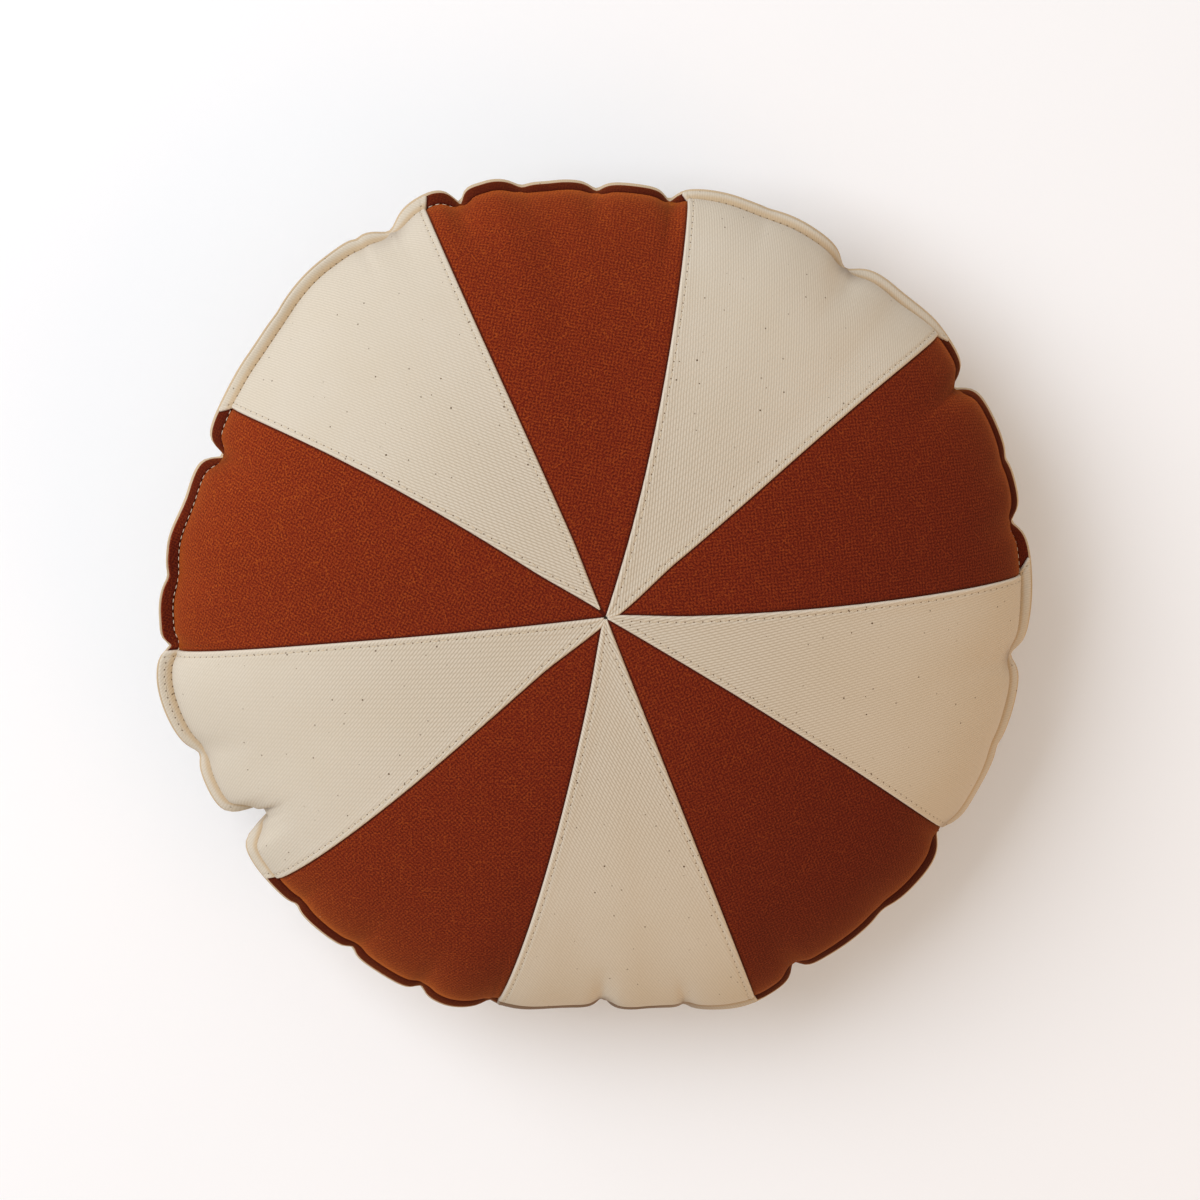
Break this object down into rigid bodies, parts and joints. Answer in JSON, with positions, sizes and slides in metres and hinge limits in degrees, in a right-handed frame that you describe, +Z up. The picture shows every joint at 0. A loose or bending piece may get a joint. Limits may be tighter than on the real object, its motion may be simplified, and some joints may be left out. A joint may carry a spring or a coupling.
{
  "type": "round patchwork cushion",
  "caption": "Round filled cushion with a pinwheel of ecru twill and rust linen wedges and a ruffled flange at its rim.",
  "frame": {"origin": "on the surface that the cushion rests on, under the middle of its outline", "axes": "+Z up out of the patchwork face, +Y towards the top of the face as pictured, +X to its right"},
  "size_m": [0.4041, 0.3897, 0.1336],
  "materials": {
    "ecru_twill": "matt cotton twill with small dark seed specks",
    "rust_linen": "matt linen look with slubs and a soft orange bloom"
  },
  "bodies": {
    "root": {"filled_back": "ecru_twill", "cream_wedge_1": "ecru_twill", "cream_wedge_2": "ecru_twill", "cream_wedge_3": "ecru_twill", "cream_wedge_4": "ecru_twill", "cream_wedge_5": "ecru_twill", "rust_wedge_1": "rust_linen", "rust_wedge_2": "rust_linen", "rust_wedge_3": "rust_linen", "rust_wedge_4": "rust_linen", "rust_wedge_5": "rust_linen"}
  },
  "joints": []
}
